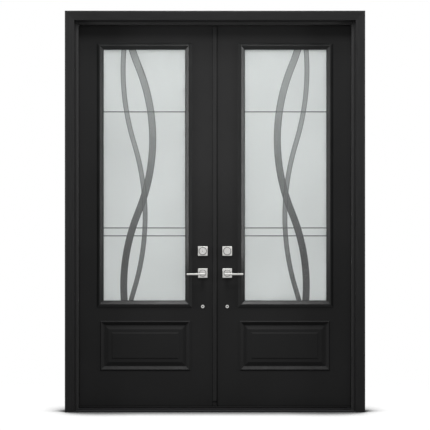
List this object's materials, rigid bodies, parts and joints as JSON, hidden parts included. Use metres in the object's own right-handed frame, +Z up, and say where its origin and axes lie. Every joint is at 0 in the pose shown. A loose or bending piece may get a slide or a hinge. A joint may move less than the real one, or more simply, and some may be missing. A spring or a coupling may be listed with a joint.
{
  "type": "double steel entry door",
  "caption": "Pair of black inswing steel entry doors with tall frosted decorative lites, raised panels and satin lever sets, hung in a cased frame with sill and astragal.",
  "frame": {"origin": "floor level, midway between the jambs, in the plane of the wall's outer face", "axes": "+X right seen from outside, +Y into the house, +Z up"},
  "size_m": [1.886, 0.207, 2.52],
  "materials": {
    "black_steel": "satin",
    "black_timber": "satin",
    "black_plastic": "satin",
    "foam": "matte",
    "stile_timber": "satin",
    "clear_glass": "gloss",
    "frosted_glass": "satin",
    "came_metal": "satin",
    "spacer_metal": "satin",
    "satin_nickel": "satin",
    "dark_aluminium": "satin",
    "seal_rubber": "matte",
    "cap_plastic": "matte"
  },
  "bodies": {
    "frame": {"left_jamb": "black_timber", "right_jamb": "black_timber", "head_jamb": "black_timber", "left_casing": "black_timber", "right_casing": "black_timber", "head_casing": "black_timber", "sill": "dark_aluminium", "threshold_cap": "cap_plastic", "weatherstrip": "seal_rubber", "bolt_keepers": "satin_nickel", "left_jamb_hinge_leaves": "satin_nickel", "right_jamb_hinge_leaves": "satin_nickel", "hinge_pins": "satin_nickel"},
    "left_leaf": {"left_outer_skin": "black_steel", "left_inner_skin": "black_steel", "left_edge_frame": "stile_timber", "left_core": "foam", "left_door_sweep": "seal_rubber", "left_outer_lite_frame": "black_plastic", "left_inner_lite_frame": "black_plastic", "left_outer_pane": "clear_glass", "left_decor_pane": "frosted_glass", "left_inner_pane": "clear_glass", "left_came": "came_metal", "left_spacers": "spacer_metal", "left_hinge_leaves": "satin_nickel", "left_lever_roses": "satin_nickel", "left_outer_deadbolt_rose": "satin_nickel", "left_inner_deadbolt_rose": "satin_nickel", "left_bolt_caps": "satin_nickel", "astragal": "dark_aluminium", "astragal_seal": "seal_rubber"},
    "left_lever": {"left_outer_lever": "satin_nickel", "left_inner_lever": "satin_nickel"},
    "right_leaf": {"right_outer_skin": "black_steel", "right_inner_skin": "black_steel", "right_edge_frame": "stile_timber", "right_core": "foam", "right_door_sweep": "seal_rubber", "right_outer_lite_frame": "black_plastic", "right_inner_lite_frame": "black_plastic", "right_outer_pane": "clear_glass", "right_decor_pane": "frosted_glass", "right_inner_pane": "clear_glass", "right_came": "came_metal", "right_spacers": "spacer_metal", "right_hinge_leaves": "satin_nickel", "right_lever_roses": "satin_nickel", "right_outer_deadbolt_rose": "satin_nickel", "right_inner_deadbolt_rose": "satin_nickel", "right_bolt_caps": "satin_nickel", "lock_faceplates": "satin_nickel"},
    "right_lever": {"right_outer_lever": "satin_nickel", "right_inner_lever": "satin_nickel"},
    "latch": {"latch_bolt": "satin_nickel"},
    "deadbolt": {"deadbolt": "satin_nickel"},
    "deadbolt_turn": {"thumbturn": "satin_nickel", "key_plug": "satin_nickel"},
    "top_bolt": {"top_shoot_bolt": "satin_nickel"},
    "bottom_bolt": {"bottom_shoot_bolt": "satin_nickel"}
  },
  "joints": [
    {"name": "left_leaf_swing", "type": "hinge", "parent": "frame", "child": "left_leaf", "pos_m": [-0.8725, 0.1235, 0], "axis": [0, 0, 1], "range_deg": [0, 120]},
    {"name": "right_leaf_swing", "type": "hinge", "parent": "frame", "child": "right_leaf", "pos_m": [0.8725, 0.1235, 0], "axis": [0, 0, -1], "range_deg": [0, 120]},
    {"name": "right_lever_turn", "type": "hinge", "parent": "right_leaf", "child": "right_lever", "pos_m": [0.0775, 0, 0.8688], "axis": [0, 1, 0], "range_deg": [0, 45], "stiffness_Nm_per_rad": 1.2, "springref_deg": -20.05},
    {"name": "left_lever_lift", "type": "hinge", "parent": "left_leaf", "child": "left_lever", "pos_m": [-0.0775, 0, 0.8688], "axis": [0, 1, 0], "range_deg": [0, 45]},
    {"name": "latch_slide", "type": "slide", "parent": "right_leaf", "child": "latch", "axis": [-1, 0, 0], "range_m": [0, 0.0127]},
    {"name": "thumbturn_turn", "type": "hinge", "parent": "right_leaf", "child": "deadbolt_turn", "pos_m": [0.0775, 0, 1.0085], "axis": [0, 1, 0], "range_deg": [0, 90]},
    {"name": "deadbolt_slide", "type": "slide", "parent": "right_leaf", "child": "deadbolt", "axis": [-1, 0, 0], "range_m": [0, 0.0254]},
    {"name": "top_bolt_slide", "type": "slide", "parent": "left_leaf", "child": "top_bolt", "axis": [0, 0, 1], "range_m": [0, 0.016]},
    {"name": "bottom_bolt_slide", "type": "slide", "parent": "left_leaf", "child": "bottom_bolt", "axis": [0, 0, -1], "range_m": [0, 0.016]}
  ],
  "couplings": [
    {"joint": "deadbolt_slide", "follows": "thumbturn_turn", "m_per_rad": 0.01617},
    {"joint": "top_bolt_slide", "follows": "left_lever_lift", "m_per_rad": 0.02037},
    {"joint": "bottom_bolt_slide", "follows": "left_lever_lift", "m_per_rad": 0.02037}
  ]
}
